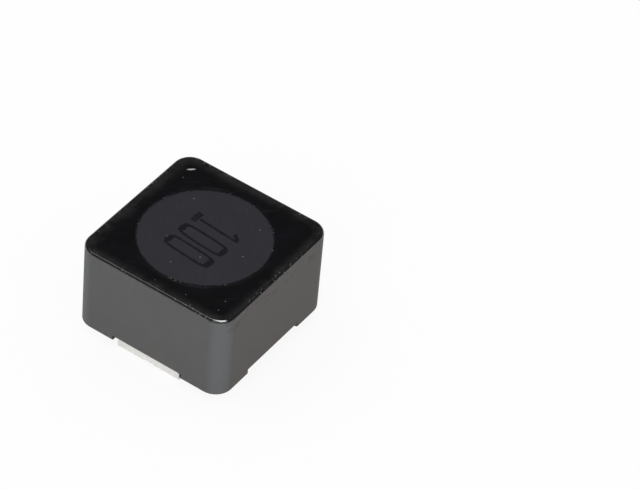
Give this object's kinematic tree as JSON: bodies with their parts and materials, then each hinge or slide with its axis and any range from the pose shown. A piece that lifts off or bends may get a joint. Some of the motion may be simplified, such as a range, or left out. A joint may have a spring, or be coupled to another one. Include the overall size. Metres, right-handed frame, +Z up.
{
  "type": "shielded smd inductor",
  "caption": "Square shielded surface-mount power inductor: wound ferrite drum sealed in a rounded ferrite ring on flat clip terminals.",
  "frame": {"origin": "under the middle of the part, on the plane of the two solder pads", "axes": "+Z up out of the board, +X towards one terminal; the visible lead is at the -X, -Y corner"},
  "size_m": [0.0126, 0.0126, 0.0078],
  "materials": {
    "ring_ferrite": "satin grey-black pressed ferrite",
    "drum_ferrite": "matte dark grey ground ferrite",
    "enamelled_wire": "clear enamelled copper",
    "tinned_sheet": "matte tin plate",
    "terminal_glue": "cured adhesive",
    "solder": "bright solder",
    "black_epoxy": "glossy black epoxy"
  },
  "bodies": {
    "root": {"ring_core": "ring_ferrite", "drum_core": "drum_ferrite", "winding": "enamelled_wire", "terminal_minus_x": "tinned_sheet", "terminal_plus_x": "tinned_sheet", "glue_minus_x": "terminal_glue", "glue_plus_x": "terminal_glue", "solder_band_long": "solder", "solder_band_short": "solder", "solder_hidden_lead": "solder", "epoxy_seal": "black_epoxy"}
  },
  "joints": []
}
